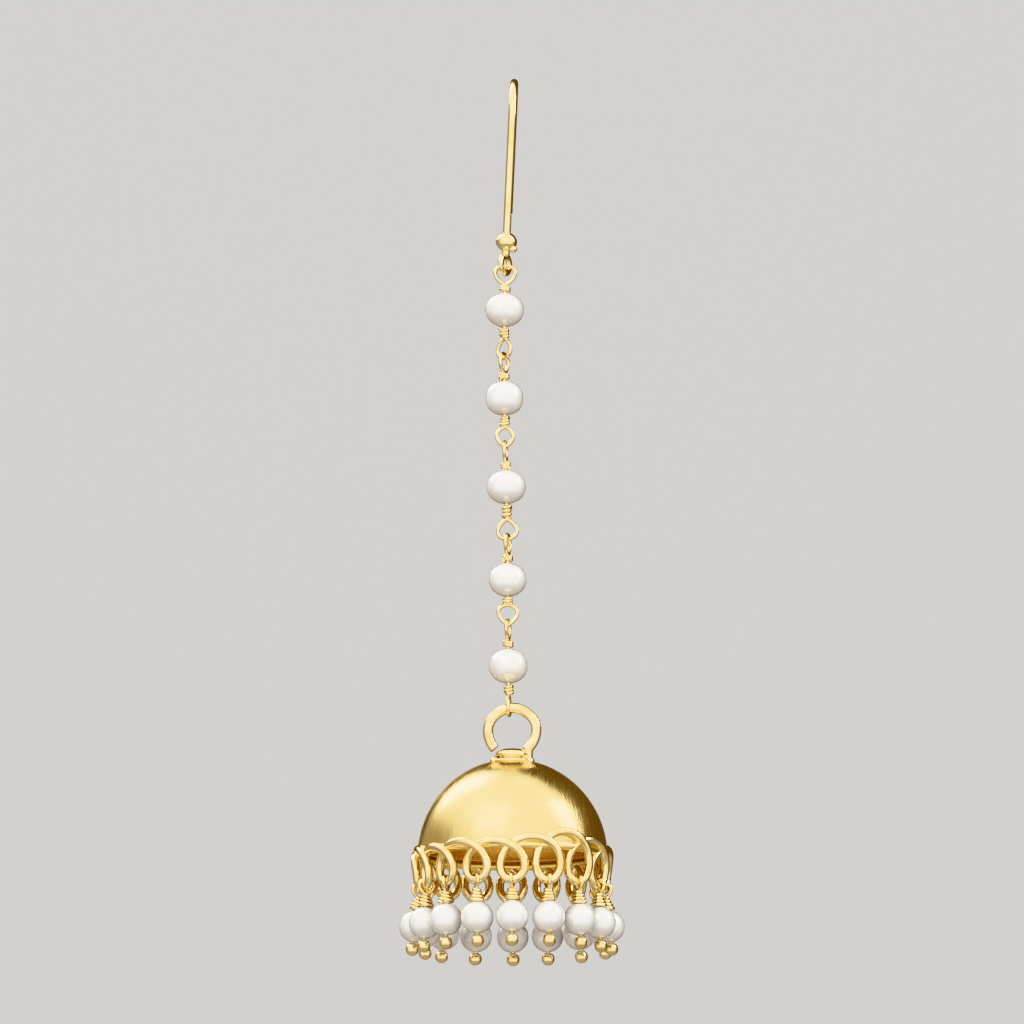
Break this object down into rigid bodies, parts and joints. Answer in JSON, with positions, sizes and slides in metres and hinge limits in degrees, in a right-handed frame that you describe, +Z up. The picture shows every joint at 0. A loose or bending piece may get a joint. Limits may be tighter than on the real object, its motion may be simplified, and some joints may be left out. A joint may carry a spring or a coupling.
{
  "type": "jhumka earring",
  "caption": "Long jhumka drop earring: a fish-hook ear wire, a chain of wire-wrapped pearls and a brushed gold dome whose looped gallery carries a fringe of pearl drops.",
  "frame": {"origin": "inside top of the ear hook's arch, where the ear carries the earring", "axes": "+Z up along the hanging earring, +X to the right of its front view, +Y to the back, so the hook's arch runs front to back"},
  "size_m": [0.0238, 0.0233, 0.0955],
  "materials": {
    "polished_gold": "gold-plated brass wire, polished",
    "brushed_gold": "gold-plated brass, scratch-brushed satin on the dome and worn bright on the ring and gallery",
    "gold_wire": "gold-plated brass wire, bright",
    "white_pearl": "white imitation pearl, soft satin lustre, drilled"
  },
  "bodies": {
    "hook_chain": {"ear_hook": "polished_gold", "hook_bead": "polished_gold", "link_wire_1": "gold_wire", "link_wire_2": "gold_wire", "link_wire_3": "gold_wire", "link_wire_4": "gold_wire", "link_wire_5": "gold_wire", "chain_pearl_1": "white_pearl", "chain_pearl_2": "white_pearl", "chain_pearl_3": "white_pearl", "chain_pearl_4": "white_pearl", "chain_pearl_5": "white_pearl"},
    "dome_drop": {"jhumka_dome": "brushed_gold", "drop_pin_1": "gold_wire", "drop_pin_2": "gold_wire", "drop_pin_3": "gold_wire", "drop_pin_4": "gold_wire", "drop_pin_5": "gold_wire", "drop_pin_6": "gold_wire", "drop_pin_7": "gold_wire", "drop_pin_8": "gold_wire", "drop_pin_9": "gold_wire", "drop_pin_10": "gold_wire", "drop_pin_11": "gold_wire", "drop_pin_12": "gold_wire", "drop_pin_13": "gold_wire", "drop_pin_14": "gold_wire", "drop_pin_15": "gold_wire", "drop_pin_16": "gold_wire", "drop_pearl_1": "white_pearl", "drop_pearl_2": "white_pearl", "drop_pearl_3": "white_pearl", "drop_pearl_4": "white_pearl", "drop_pearl_5": "white_pearl", "drop_pearl_6": "white_pearl", "drop_pearl_7": "white_pearl", "drop_pearl_8": "white_pearl", "drop_pearl_9": "white_pearl", "drop_pearl_10": "white_pearl", "drop_pearl_11": "white_pearl", "drop_pearl_12": "white_pearl", "drop_pearl_13": "white_pearl", "drop_pearl_14": "white_pearl", "drop_pearl_15": "white_pearl", "drop_pearl_16": "white_pearl"}
  },
  "joints": [
    {"name": "dome_swing", "type": "hinge", "parent": "hook_chain", "child": "dome_drop", "pos_m": [-0.00022, 0, -0.06812], "axis": [1, 0, 0], "range_deg": [-60, 60]}
  ]
}
